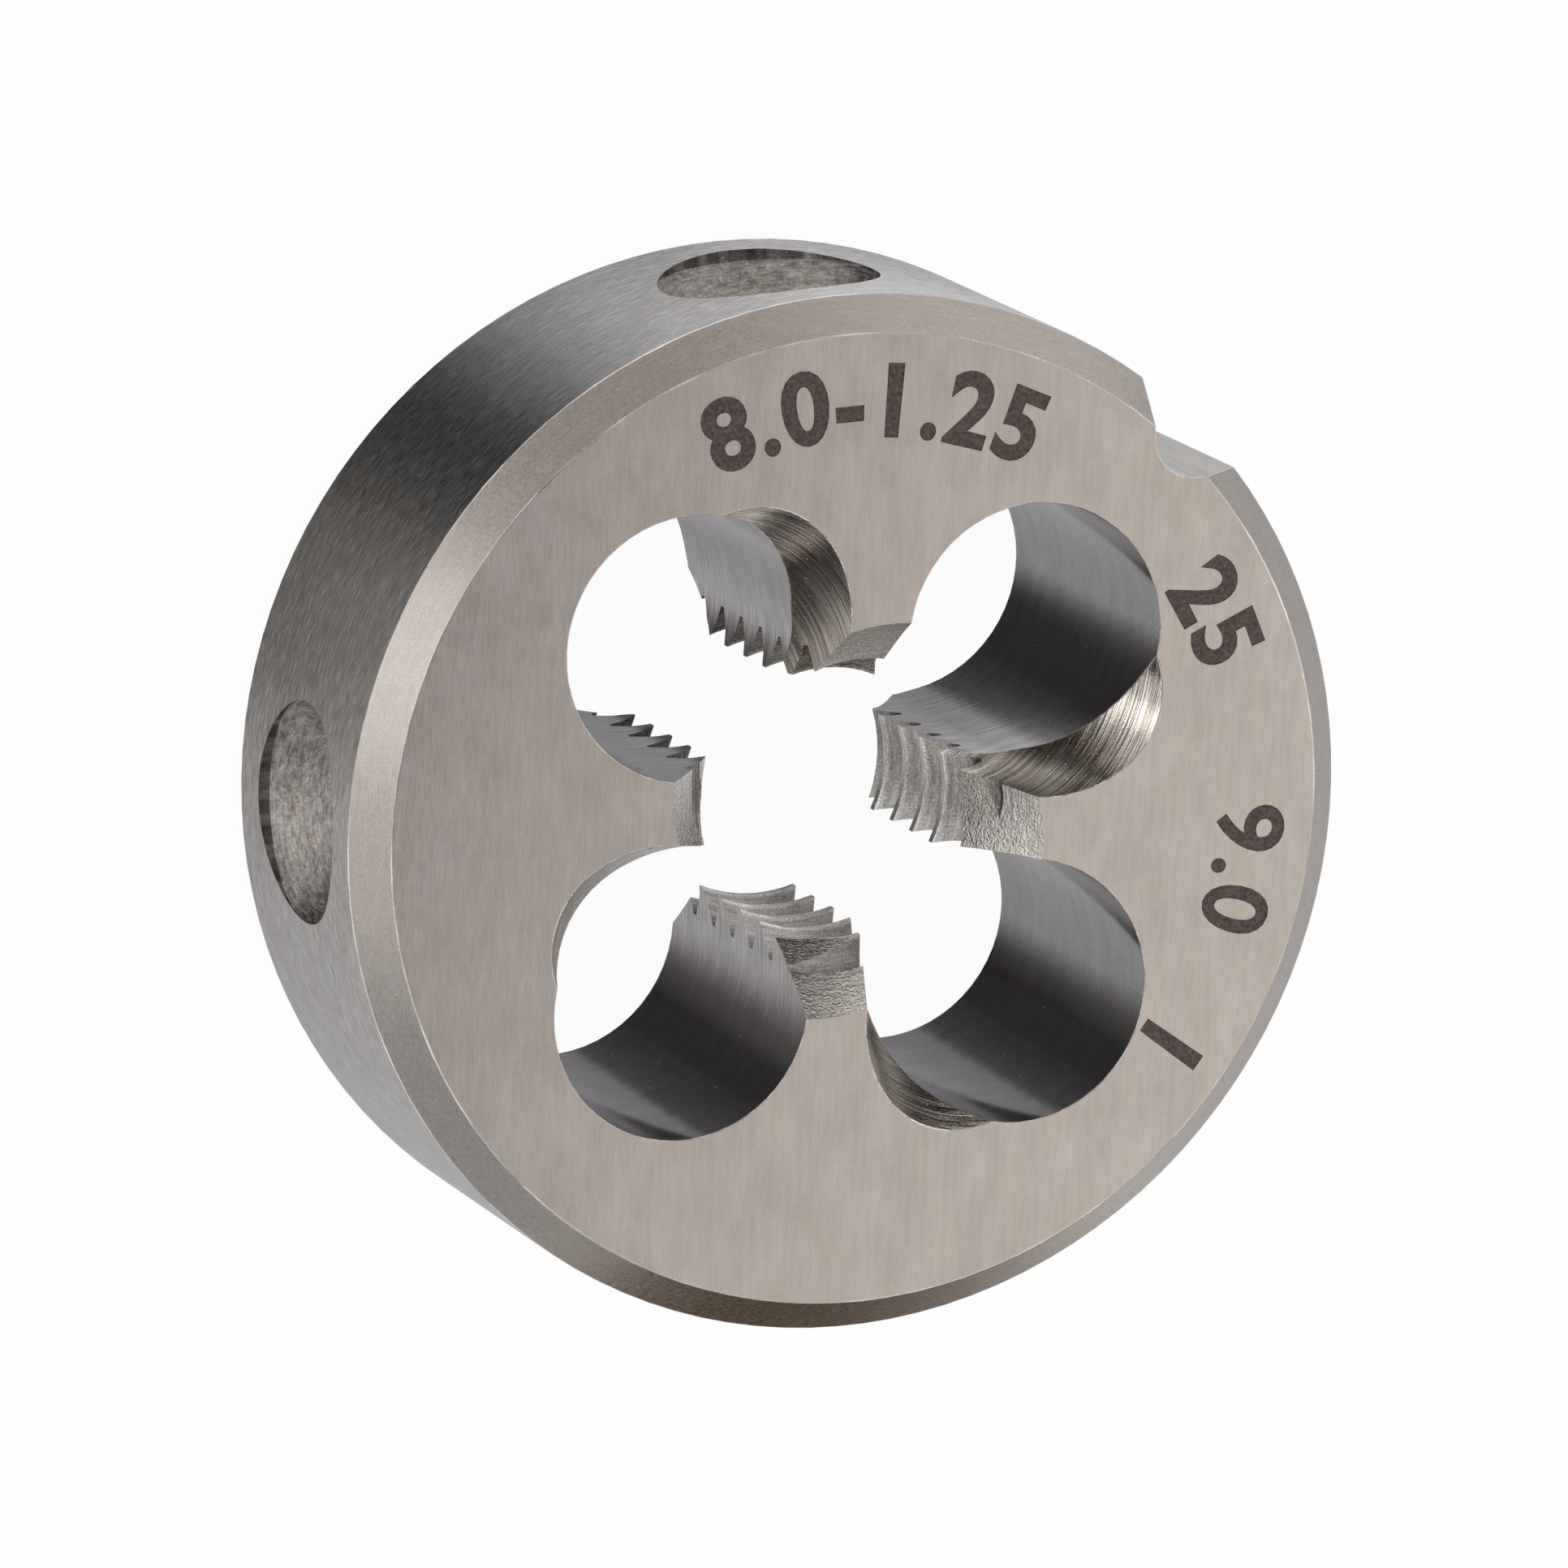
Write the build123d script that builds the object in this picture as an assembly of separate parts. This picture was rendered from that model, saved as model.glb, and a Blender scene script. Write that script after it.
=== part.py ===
from build123d import *
import math
import os

# Round threading die that cuts an M8 x 1.25 right-hand outside thread. All lengths are in millimetres.
# The origin is the centre of the rear face. +Z comes out of the front face, where the work enters.
# The four lands point along +X, +Y, -X and -Y, and the chip holes lie between them.

# Turned body
outside_diameter = 25.0
thickness = 9.0
front_edge_chamfer = 0.8
rear_edge_chamfer = 0.6

# Thread, with the basic 60 degree profile. The crests of the teeth reach a little inside its minor size.
thread_diameter = 8.0
thread_pitch = 1.25
thread_crest_reach = 0.08
gap_height_at_x = 0.62

# Chip holes
chip_hole_count = 4
chip_hole_diameter = 6.4
chip_circle_diameter = 12.18

# Relief ground on the sides of the lands, beside the teeth. It is a little more on the cutting side of each land.
side_relief_diameter = 5.5
side_relief_circle_diameter = 10.78
side_relief_turn = -1.0

# Lead chamfers, where the teeth start on each side
front_lead_diameter = 9.48
front_lead_half_angle = 36.0
front_lead_relief = 0.93
rear_lead_diameter = 9.05
rear_lead_half_angle = 35.5

# Spiral-point gashes, ground in front of each cutting edge through the chip hole
gash_diameter = 5.4
gash_inset = 0.76
gash_shift = 0.86
gash_lean = 35.3
gash_heading = 64.0

# Seats for the set screws of the die stock, drilled in the rim
seat_diameter = 5.3
seat_cone_angle = 90.0
seat_height = 4.5
near_seat_angle = 47.1
far_seat_angle = 133.3

# Adjusting notch along the rim, over the first chip hole
notch_depth = 1.35
notch_open_angle = 90.0
notch_root_radius = 1.0
rim_turn = 2.7

# How far each cutting shape runs past the surface that it cuts
overrun = 0.5

# Inside the bore the gaps between the teeth open to this share of the pitch.
# Along the thread they span this share of the arc from one chip hole's middle to the next.
gap_mouth_share = 0.9
gap_span_share = 0.9

outside_radius = outside_diameter / 2
chip_step = 360 / chip_hole_count
chip_circle_radius = chip_circle_diameter / 2
notch_angle = chip_step / 2 + rim_turn

# Basic thread profile: its minor size lies 5/8 of the sharp height inside the nominal size.
flank_slope = math.tan(math.radians(30))
sharp_height = thread_pitch / 2 / flank_slope
thread_pitch_radius = thread_diameter / 2 - 3 / 8 * sharp_height
thread_crest_radius = thread_diameter / 2 - 5 / 8 * sharp_height - thread_crest_reach
thread_root_radius = thread_diameter / 2


def turned_blank():
    """The blank from the lathe: a disc with a chamfer on both edges and a plain bore."""
    section = Polyline(
        (thread_crest_radius, 0),
        (outside_radius - rear_edge_chamfer, 0),
        (outside_radius, rear_edge_chamfer),
        (outside_radius, thickness - front_edge_chamfer),
        (outside_radius - front_edge_chamfer, thickness),
        (thread_crest_radius, thickness),
        close=True,
    )
    return revolve(Plane.XZ * make_face(section), Axis.Z)


def gap_half_width(radius):
    """Half the width of the gap between two teeth, at a radius."""
    return thread_pitch / 4 - (radius - thread_pitch_radius) * flank_slope


def tooth_gap():
    """One turn's gap between two teeth of the land along +X. Its mouth opens a little inside the crests."""
    mouth_half_width = thread_pitch * gap_mouth_share / 2
    mouth_radius = thread_pitch_radius - (mouth_half_width - thread_pitch / 4) / flank_slope
    root_half_width = gap_half_width(thread_root_radius)
    section = Polyline(
        (mouth_radius, -mouth_half_width),
        (thread_root_radius, -root_half_width),
        (thread_root_radius, root_half_width),
        (mouth_radius, mouth_half_width),
        close=True,
    )
    span = chip_step * gap_span_share
    rise = thread_pitch * span / 360
    path = Helix(pitch=thread_pitch, height=rise, radius=thread_pitch_radius)
    gap = sweep(Plane.XZ * make_face(section), path=path, is_frenet=True)
    return Pos(0, 0, -rise / 2) * Rot(0, 0, -span / 2) * gap


def tooth_gaps():
    """Every gap of the right-hand thread, from below the rear face to above the front face."""
    gap = tooth_gap()
    gaps = []
    for land in range(chip_hole_count):
        height = gap_height_at_x + thread_pitch * land / chip_hole_count - 2 * thread_pitch
        while height < thickness + thread_pitch:
            gaps.append(Pos(0, 0, height) * Rot(0, 0, chip_step * land) * gap)
            height += thread_pitch
    return gaps


def chip_hole():
    """The hole over the first chip step: round, and drawn in smoothly to the relief beside the teeth."""
    hole = Pos(chip_circle_radius, 0) * Circle(chip_hole_diameter / 2)
    relief_place = Rot(0, 0, side_relief_turn) * Pos(side_relief_circle_diameter / 2, 0)
    relief = relief_place * Circle(side_relief_diameter / 2)
    outline = make_hull(hole.edges() + relief.edges())
    prism = Pos(0, 0, -overrun) * extrude(outline, thickness + 2 * overrun)
    return Rot(0, 0, chip_step / 2) * prism


def chip_holes():
    """The holes that part the lands and let the chips out."""
    hole = chip_hole()
    return [Rot(0, 0, chip_step * number) * hole for number in range(chip_hole_count)]


def land_sector():
    """The wedge of the die about the land along +X, from one chip hole's centre line to the next."""
    side = outside_radius * math.tan(math.radians(chip_step / 2))
    wedge = Polyline((0, 0), (outside_radius, -side), (outside_radius, side), close=True)
    return Pos(0, 0, -overrun) * extrude(make_face(wedge), thickness + 2 * overrun)


def lead_cone():
    """The front lead chamfer, off centre towards the heel, so the teeth clear behind the cutting edge."""
    slope = math.tan(math.radians(front_lead_half_angle))
    mouth_radius = front_lead_diameter / 2 + overrun * slope
    cone = Cone(
        0,
        mouth_radius,
        mouth_radius / slope,
        align=(Align.CENTER, Align.CENTER, Align.MAX),
    )
    return Pos(0, -front_lead_relief, thickness + overrun) * cone


def gash():
    """The spiral-point gash: a leaning cylinder that shortens the land's front on its cutting side."""
    hole_line = Vector(1, 0, 0).rotate(Axis.Z, chip_step / 2)
    to_land = hole_line.rotate(Axis.Z, -90)
    centre = (
        hole_line * (chip_circle_radius - gash_inset)
        + to_land * gash_shift
        + Vector(0, 0, thickness)
    )
    heading = hole_line.rotate(Axis.Z, -gash_heading)
    lean = math.radians(gash_lean)
    direction = heading * math.sin(lean) + Vector(0, 0, math.cos(lean))
    return Plane(origin=centre, z_dir=direction) * Cylinder(gash_diameter / 2, 4 * thickness)


def land_cuts():
    """The lead chamfer and the gash of each land, kept within that land."""
    cuts = (lead_cone() + gash()) & land_sector()
    return [Rot(0, 0, chip_step * land) * cuts for land in range(chip_hole_count)]


def rear_lead():
    """The plain lead chamfer at the rear, where the cut thread leaves."""
    slope = math.tan(math.radians(rear_lead_half_angle))
    mouth_radius = rear_lead_diameter / 2 + overrun * slope
    cone = Cone(
        mouth_radius,
        0,
        mouth_radius / slope,
        align=(Align.CENTER, Align.CENTER, Align.MIN),
    )
    return Pos(0, 0, -overrun) * cone


def screw_seats():
    """The drilled cone seats, two near the notch and two opposite. Each full mouth is just under the rim."""
    seat_radius = seat_diameter / 2
    cone_depth = seat_radius / math.tan(math.radians(seat_cone_angle / 2))
    mouth_distance = math.sqrt(outside_radius**2 - seat_radius**2)
    section = Polyline(
        (0, -cone_depth),
        (seat_radius, 0),
        (seat_radius, outside_radius - mouth_distance + overrun),
        (0, outside_radius - mouth_distance + overrun),
        close=True,
    )
    drill = revolve(Plane.XZ * make_face(section), Axis.Z)
    seats = []
    for from_notch in (near_seat_angle, -near_seat_angle, far_seat_angle, -far_seat_angle):
        outward = Vector(1, 0, 0).rotate(Axis.Z, notch_angle + from_notch)
        mouth = Plane(origin=outward * mouth_distance + Vector(0, 0, seat_height), z_dir=outward)
        seats.append(mouth * drill)
    return seats


def adjusting_notch():
    """The V groove across the rim, with a rounded root, where the die can be opened a little."""
    half_angle = math.radians(notch_open_angle / 2)
    root_rise = notch_root_radius * (1 / math.sin(half_angle) - 1)
    sharp_radius = outside_radius - notch_depth - root_rise
    reach = outside_radius + overrun - sharp_radius
    side = reach * math.tan(half_angle)
    outline = Polyline(
        (sharp_radius, 0),
        (sharp_radius + reach, -side),
        (sharp_radius + reach, side),
        close=True,
    )
    section = make_face(outline)
    root = section.vertices().sort_by(Axis.X)[0]
    groove = extrude(fillet(root, notch_root_radius), thickness + 2 * overrun)
    return Rot(0, 0, notch_angle) * Pos(0, 0, -overrun) * groove


def die_body():
    """The whole die, cut from one blank."""
    die = turned_blank() - chip_holes()
    die -= tooth_gaps()
    die -= rear_lead()
    for cut in land_cuts():
        die -= cut
    die -= screw_seats()
    return die - adjusting_notch()


os.makedirs("parts", exist_ok=True)
export_step(die_body(), "parts/die_body.step")
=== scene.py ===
"""Round threading die for an 8 mm thread of 1.25 mm pitch, lying face up on a pale floor."""

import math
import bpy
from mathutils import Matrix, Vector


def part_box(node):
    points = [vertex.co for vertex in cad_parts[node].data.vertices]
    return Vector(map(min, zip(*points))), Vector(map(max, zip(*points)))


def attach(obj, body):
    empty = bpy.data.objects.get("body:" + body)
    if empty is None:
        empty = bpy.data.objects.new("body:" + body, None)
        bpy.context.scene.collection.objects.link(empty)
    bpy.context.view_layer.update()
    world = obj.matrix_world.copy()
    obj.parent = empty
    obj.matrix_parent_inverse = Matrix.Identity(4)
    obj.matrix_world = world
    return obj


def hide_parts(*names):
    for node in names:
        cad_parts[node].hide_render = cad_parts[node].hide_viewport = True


bl_info = {
    "name": "Round Threading Die",
    "version": (1, 0, 0),
    "blender": (4, 5, 0),
    "location": "3D View > Sidebar > Die",
    "description": "Builds a ground steel threading die with etched marks, its floor, light and camera",
    "category": "Object",
}

import bmesh
import bpy
from bpy.props import FloatProperty, FloatVectorProperty, PointerProperty
from mathutils import Matrix, Vector

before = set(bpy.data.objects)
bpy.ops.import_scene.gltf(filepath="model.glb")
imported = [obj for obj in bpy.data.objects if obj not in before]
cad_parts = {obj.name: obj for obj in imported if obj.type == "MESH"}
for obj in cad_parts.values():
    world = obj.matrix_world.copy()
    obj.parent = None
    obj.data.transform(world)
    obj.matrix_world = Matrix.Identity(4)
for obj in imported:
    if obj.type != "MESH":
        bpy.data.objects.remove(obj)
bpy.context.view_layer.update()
high_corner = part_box("die_body")[1]

MM = 0.001
QUARTER = math.pi / 2
LANDS = 4
# The die's axis runs up from the centre of its rear face.
UP = Vector((0, 0, 1))
CENTRE = Vector((0, 0, 0))

# The surfaces of the die, each with the finish that it takes. Their order is that of the material slots.
SURFACES = {
    "front": "face",
    "rear": "face",
    "chamfer": "chamfer",
    "rim": "rim",
    "notch": "notch",
    "seat": "seat",
    "bore": "bore",
    "relief": "bore",
    "gash": "gash",
    "lead": "lead",
    "thread": "thread",
    "mark": "mark",
    "edge": "edge",
}
SLOT = {name: index for index, name in enumerate(SURFACES)}
SLOT_NAME = list(SURFACES)

# How the surfaces are told apart. A corner lies on a surface when it is this near to it.
ON_SURFACE = 0.004 * MM
# The rise of a facet's normal is more than the first on the flat faces, less than the second on upright
# walls, and within the spread of the third on the edge chamfers.
FLAT_RISE = 0.999
UPRIGHT_RISE = 0.05
CHAMFER_RISE = math.sqrt(0.5)
CHAMFER_SPREAD = 0.02
# How far out the seats, the notch and the edge chamfers start, as shares of the outer radius.
SEAT_SHARE = 0.76
NOTCH_SHARE = 0.88
CHAMFER_SHARE = 0.92
NOTCH_HALF_ANGLE = math.radians(8)
# The marks lie at least this far below the face, and within this much of the middle of their ring.
MARK_START = 0.001 * MM
MARK_REACH = 1.0 * MM
# The gash at a point is told by its wall and its start, and its wall counts this many times as much.
WALL_WEIGHT = 3
# Within this of a seat's axis lies the tip of its cone. A facet that faces out of the seat by more than this
# share is on the cone, and the others are on the wall.
SEAT_TIP = 0.02 * MM
CONE_RISE = 0.3

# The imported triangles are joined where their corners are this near, or where they bend by less than this.
CORNER_GAP = 0.0003 * MM
FACET_BEND = math.radians(0.2)
# Edges that turn by more than the first are broken, and facets that bend by less than the second shade
# as one surface.
BREAK_ABOVE = math.radians(20)
SMOOTH_BELOW = math.radians(22)

# Plain sizes in the etched places, with the middle of each in degrees round the face: the thread and its
# pitch, the outside diameter, the thickness and the number of starts.
MARKS = {"8.0-1.25": 90.0, "25": 27.5, "9.0": -9.0, "1": -35.0}
# The digits' height as a share of the font's size, and their spacing. Their strokes are thickened by a
# share of their height. A row with a nine takes less, as the nine's outline would cross itself.
DIGIT_SHARE = 0.73
DIGIT_SPACING = 1.12
STROKE_GROWTH = 0.045
NINE_GROWTH = 0.03
# The digits' outlines are joined where their corners are this near, or where they bend by less than this.
DIGIT_GAP = 0.001 * MM
DIGIT_BEND = math.radians(1)
# The slab that cuts the marks is this many times as thick as they are deep.
CUTTER_SHARE = 3

# Noise stays mostly near a half, so a pattern is stretched from between two ends. The nearer they are to
# each other, the more it shows.
STRONG = (0.36, 0.64)
MEDIUM = (0.35, 0.65)
WEAK = (0.3, 0.7)
# Clouds are this many times as long, along the lines, as they are wide.
CLOUD_STRETCH = 2
# A speck fades out from this share of its size to its rim. One whose chance is between this share and the
# whole is fainter.
SPECK_CORE = 0.6
CHANCE_CORE = 0.9
# How dark a pit is, and how metallic a speck of dust is.
PIT_SHADE = 0.45
DUST_METALLIC = 0.2
# The laser's oxide is uneven at this size.
OXIDE_GRAIN = 0.09 * MM

# The floor is a square board just under the die. This share of what the camera sees of it is plain white.
FLOOR_HALF_SIZE = 400 * MM
FLOOR_DROP = 0.01 * MM
FLOOR_GLOW = 0.95

# The cards are painted reflections: glowing sheets that only the steel shows. The dark ones below the floor
# paint shade into what the steel mirrors under the die.
# What the steel mirrors besides the white room. Each card has its azimuth and elevation from the die in
# degrees, its distance, half width and half height in millimetres, its colour and how brightly it glows,
# how dense it is and how far its even middle reaches.
CARDS = {
    "ceiling_veil": (78, 87, 90, 33, 85, "#00003F", 1.0, 0.96, 0.55),
    "left_softbox": (164, 26, 300, 93, 176, "#FFFFFE", 1.69, 1.0, 0.78),
    "top_wall": (101, 33, 310, 253, 123, "#B1AAA2", 1.0, 0.88, 0.86),
    "right_wall": (-2, -14, 320, 260, 195, "#D4D6D8", 1.0, 0.76, 0.89),
    "lower_wall": (234, 3, 320, 203, 141, "#B1B5B6", 1.0, 0.87, 0.65),
    "brown_flag": (292, 2, 290, 190, 162, "#503800", 1.0, 1.0, 0.66),
    "low_flag": (107, -71, 58, 26, 12, "#595959", 1.0, 0.85, 0.73),
    "low_veil": (181, -54, 140, 137, 41, "#C2BFBA", 1.0, 0.7, 0.4),
    "low_top": (36, -76, 150, 86, 39, "#A6A6AC", 1.0, 0.61, 0.88),
    "low_backdrop": (142, -58, 160, 105, 89, "#3F3F3F", 1.0, 1.0, 0.49),
    "low_near": (242, -84, 40, 30, 31, "#190019", 1.0, 0.52, 0.9),
    "high_flag": (212, 52, 280, 85, 65, "#959597", 1.0, 0.85, 0.6),
}


def linear(code):
    """An sRGB hex code as linear red, green, blue and alpha."""
    parts = [int(code[i : i + 2], 16) / 255 for i in (1, 3, 5)]
    return [c / 12.92 if c <= 0.04045 else ((c + 0.055) / 1.055) ** 2.4 for c in parts] + [1.0]


def length(name, description, value_mm):
    """A size that the panel shows, with its default in millimetres."""
    default = value_mm * MM
    return FloatProperty(
        name=name, description=description, default=default, subtype="DISTANCE", precision=5
    )


def angle(name, description, value_deg):
    """An angle that the panel shows, with its default in degrees."""
    default = math.radians(value_deg)
    return FloatProperty(name=name, description=description, default=default, subtype="ANGLE")


def colour(name, description, code):
    """A colour that the panel shows, with its default as an sRGB hex code."""
    return FloatVectorProperty(
        name=name, description=description, default=linear(code), size=4, subtype="COLOR", min=0, max=1
    )


class DieSizes(bpy.types.PropertyGroup):
    """The sizes that tell one cut or ground surface of the die from another, and those of its marks."""

    outer_radius: length("Outer radius", "Radius of the ground rim", high_corner.x / MM)
    thickness: length("Thickness", "Height of the front face above the rear face", high_corner.z / MM)
    chip_hole_radius: length("Chip hole radius", "Radius of each chip hole", 3.2)
    chip_circle_radius: length("Chip circle radius", "From the axis to a chip hole's centre", 6.09)
    relief_radius: length("Side relief radius", "Radius of the hollow ground beside the teeth", 2.75)
    relief_circle_radius: length("Side relief circle", "From the axis to a side relief's centre", 5.39)
    relief_turn: angle("Side relief turn", "Turn of the side reliefs past their chip holes", -1.0)
    root_radius: length("Thread root radius", "Radius of the bottom of the thread", 4.0)
    front_lead_radius: length("Front lead radius", "Radius of the front lead chamfer at the face", 4.74)
    rear_lead_radius: length("Rear lead radius", "Radius of the rear lead chamfer at the face", 4.525)
    lead_relief: length("Lead relief", "How far the front lead's centre is off the axis", 0.93)
    front_lead_half_angle: angle("Front lead half angle", "Half angle of the front lead chamfer", 36.0)
    rear_lead_half_angle: angle("Rear lead half angle", "Half angle of the rear lead chamfer", 35.5)
    gash_radius: length("Gash radius", "Radius of the gash ground into each land", 2.7)
    gash_inset: length("Gash inset", "How far inside the chip circle a gash starts", 0.76)
    gash_shift: length("Gash shift", "How far towards its land a gash starts", 0.86)
    gash_lean: angle("Gash lean", "Angle between a gash and the die's axis", 35.3)
    gash_heading: angle("Gash heading", "Where a gash leans to, from its hole's centre line", 64.0)
    seat_radius: length("Seat radius", "Radius of a set screw seat", 2.65)
    seat_height: length("Seat height", "Height of the set screw seats", 4.5)
    notch_angle: angle("Notch angle", "Where the adjusting notch lies round the rim", 47.7)
    near_seat_angle: angle("Near seat angle", "From the notch to the two near seats", 47.1)
    far_seat_angle: angle("Far seat angle", "From the notch to the two far seats", 133.3)
    edge_break: length("Edge break", "Width of the broken edge between two surfaces", 0.025)
    etch_depth: length("Etch depth", "How deep the laser marks are", 0.02)
    mark_height: length("Mark height", "Height of the etched digits", 1.74)
    mark_radius: length("Mark radius", "From the axis to the middle of the etched digits", 10.15)


class DieColours(bpy.types.PropertyGroup):
    """The colours of the steel, of its marks and of the studio."""

    face: colour("Ground face", "Surface-ground steel", "#C2B8AE")
    chamfer: colour("Chamfer", "Ground edge chamfer", "#ACA49E")
    rim: colour("Rim", "Cylindrically ground rim", "#C2BFBC")
    bore: colour("Chip hole", "Reamed wall of a chip hole", "#A6A4A3")
    gash: colour("Gash", "Coarsely ground gash", "#E6DBCF")
    lead: colour("Lead chamfer", "Ground lead chamfer", "#E4DFD8")
    thread: colour("Thread", "Ground thread", "#A3A09D")
    seat: colour("Seat", "Drilled seat and milled notch", "#8C8782")
    # The broken edges' lighter colour is a painted highlight along the edges.
    edge: colour("Broken edge", "Edge rubbed bright by handling", "#D2CCC5")
    warm: colour("Warm tint", "Faint warm clouds in the steel", "#B29C88")
    cool: colour("Cool tint", "Faint cool clouds in the steel", "#A9ABB3")
    dust: colour("Dust", "Specks of dust and grit on the steel", "#E2E0DA")
    mark: colour("Etched mark", "Oxide left by the marking laser", "#3C3431")
    thin_mark: colour("Thin oxide", "Oxide where the laser burned it thinner", "#5A4E47")
    floor: colour("Floor", "Pale studio floor", "#F4F4F2")
    white: colour("White", "The white room and the floor's glow", "#FFFFFF")


class DieView(bpy.types.PropertyGroup):
    """Where the camera stands and how it is framed."""

    back: FloatVectorProperty(
        name="Direction",
        description="From the die towards the camera",
        default=(-0.36476, 0.20624, 0.90798),
        subtype="XYZ",
    )
    up: FloatVectorProperty(
        name="Up",
        description="Direction that is up in the view",
        default=(-0.03664, 0.99933, 0.0),
        subtype="XYZ",
    )
    roll: angle("Roll", "Turn of the camera about its line of sight", 0.2197)
    distance: length("Distance", "From the middle of the die to the camera", 311.03)
    focal: FloatProperty(
        name="Focal length", description="Focal length on a 36 mm sensor", default=299.04, unit="CAMERA"
    )
    shift_x: FloatProperty(name="Shift across", description="Lens shift to the side", default=-0.00356)
    shift_y: FloatProperty(name="Shift up", description="Lens shift upwards", default=-0.00105)


def add_node(tree, kind, settings=None, inputs=None):
    """Adds one node with its settings. An input is a value, or the output that it is linked from."""
    made = tree.nodes.new(kind)
    for name, value in (settings or {}).items():
        setattr(made, name, value)
    for name, value in (inputs or {}).items():
        socket = made.inputs[name]
        if isinstance(value, bpy.types.NodeSocket):
            tree.links.new(value, socket)
        else:
            socket.default_value = value
    return made


def bare_material(name):
    """A new material and its node tree, which has no nodes yet."""
    made = bpy.data.materials.new(name)
    made.use_nodes = True
    made.node_tree.nodes.clear()
    return made, made.node_tree


def into_scene(name, shape):
    """Turns a bmesh into an object of the scene, and frees it."""
    mesh = bpy.data.meshes.new(name)
    shape.to_mesh(mesh)
    shape.free()
    made = bpy.data.objects.new(name, mesh)
    bpy.context.scene.collection.objects.link(made)
    return made


def turned(about, point):
    """A point turned about the die's axis by an angle."""
    return Matrix.Rotation(about, 3, "Z") @ Vector(point)


def wrapped(value):
    """An angle brought between minus and plus half a turn."""
    return (value + math.pi) % (2 * math.pi) - math.pi


def outward(point):
    """The level direction from the die's axis to a point."""
    return Vector((point.x, point.y, 0)).normalized()


def off_axis(point, start, direction):
    """The shortest way from an axis to a point, and how far along the axis that is."""
    along = (point - start).dot(direction)
    return point - start - direction * along, along


def hole_of(point):
    """The number of the chip hole in whose quarter of the die a point is."""
    return int((math.atan2(point.y, point.x) % (2 * math.pi)) / QUARTER) % LANDS


def land_of(point):
    """The number of the land that is nearest to a point."""
    return round(math.atan2(point.y, point.x) / QUARTER)


def hole_wall(point, number):
    """How far a point is outside a chip hole, the way out of the hole there, and the part of its wall.

    The hole is a wide arc and the narrower arc of the side relief, joined by the straight lines that touch
    both.
    """
    sizes = bpy.context.scene.die_sizes
    middle_line = QUARTER * (number + 0.5)
    wide = turned(middle_line, (sizes.chip_circle_radius, 0, 0)).xy
    narrow = turned(middle_line + sizes.relief_turn, (sizes.relief_circle_radius, 0, 0)).xy
    inward = (narrow - wide).normalized()
    sideways = inward.orthogonal()
    if (point.xy - wide).dot(sideways) < 0:
        sideways.negate()
    lean = (sizes.chip_hole_radius - sizes.relief_radius) / (narrow - wide).length
    straight = math.sqrt(1 - lean * lean)
    out = inward * lean + sideways * straight
    along = inward * straight - sideways * lean
    reach = (point.xy - wide).dot(along)
    if reach < 0:
        out = (point.xy - wide).normalized()
        gap, part = (point.xy - wide).length - sizes.chip_hole_radius, "bore"
    elif reach > (narrow - wide).length * straight:
        out = (point.xy - narrow).normalized()
        gap, part = (point.xy - narrow).length - sizes.relief_radius, "relief"
    else:
        gap, part = (point.xy - wide).dot(out) - sizes.chip_hole_radius, "bore"
    return gap, out.to_3d(), part


def gash_axis(number):
    """Where the gash through a chip hole starts, the direction it runs in, and the side of its land."""
    sizes = bpy.context.scene.die_sizes
    hole_line = turned(QUARTER * (number + 0.5), (1, 0, 0))
    to_land = turned(-QUARTER, hole_line)
    start = hole_line * (sizes.chip_circle_radius - sizes.gash_inset) + to_land * sizes.gash_shift
    start.z = sizes.thickness
    heading = turned(-sizes.gash_heading, hole_line)
    direction = heading * math.sin(sizes.gash_lean) + UP * math.cos(sizes.gash_lean)
    return start, direction, to_land


def gash_of(point):
    """The gash whose wall is at a point."""
    radius = bpy.context.scene.die_sizes.gash_radius

    def distance(gash):
        start, direction = gash[:2]
        off_wall = abs(off_axis(point, start, direction)[0].length - radius)
        return WALL_WEIGHT * off_wall + (start - point).length

    return min([gash_axis(number) for number in range(LANDS)], key=distance)


def seat_axes():
    """The direction out of each set screw seat."""
    sizes = bpy.context.scene.die_sizes
    near, far = sizes.near_seat_angle, sizes.far_seat_angle
    return [turned(sizes.notch_angle + offset, (1, 0, 0)) for offset in (near, -near, far, -far)]


def seat_of(point):
    """The direction out of the seat that is nearest to a point."""
    return max(seat_axes(), key=point.dot)


def lead_centre(land):
    """The centre of the front lead chamfer of a land."""
    return turned(QUARTER * land, (0, -bpy.context.scene.die_sizes.lead_relief, 0))


def all_on(corners, gap):
    """Whether every corner lies on the surface that a function gives the distance from."""
    return all(abs(gap(corner)) < ON_SURFACE for corner in corners)


def hole_surface_of(middle, corners, upright):
    """The surface in or beside a chip hole that a face belongs to."""
    sizes = bpy.context.scene.die_sizes
    front_slope = math.tan(sizes.front_lead_half_angle)
    for number in range(LANDS):
        if upright and all_on(corners, lambda c: hole_wall(c, number)[0]):
            return hole_wall(middle, number)[2]
        start, direction = gash_axis(number)[:2]
        if all_on(corners, lambda c: off_axis(c, start, direction)[0].length - sizes.gash_radius):
            return "gash"
        centre = lead_centre(number).xy
        tip = sizes.thickness - sizes.front_lead_radius / front_slope
        if all_on(corners, lambda c: (c.xy - centre).length - (c.z - tip) * front_slope):
            return "lead"
    rear_slope = math.tan(sizes.rear_lead_half_angle)
    if all_on(corners, lambda c: c.xy.length - sizes.rear_lead_radius + c.z * rear_slope):
        return "lead"
    return "thread"


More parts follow.
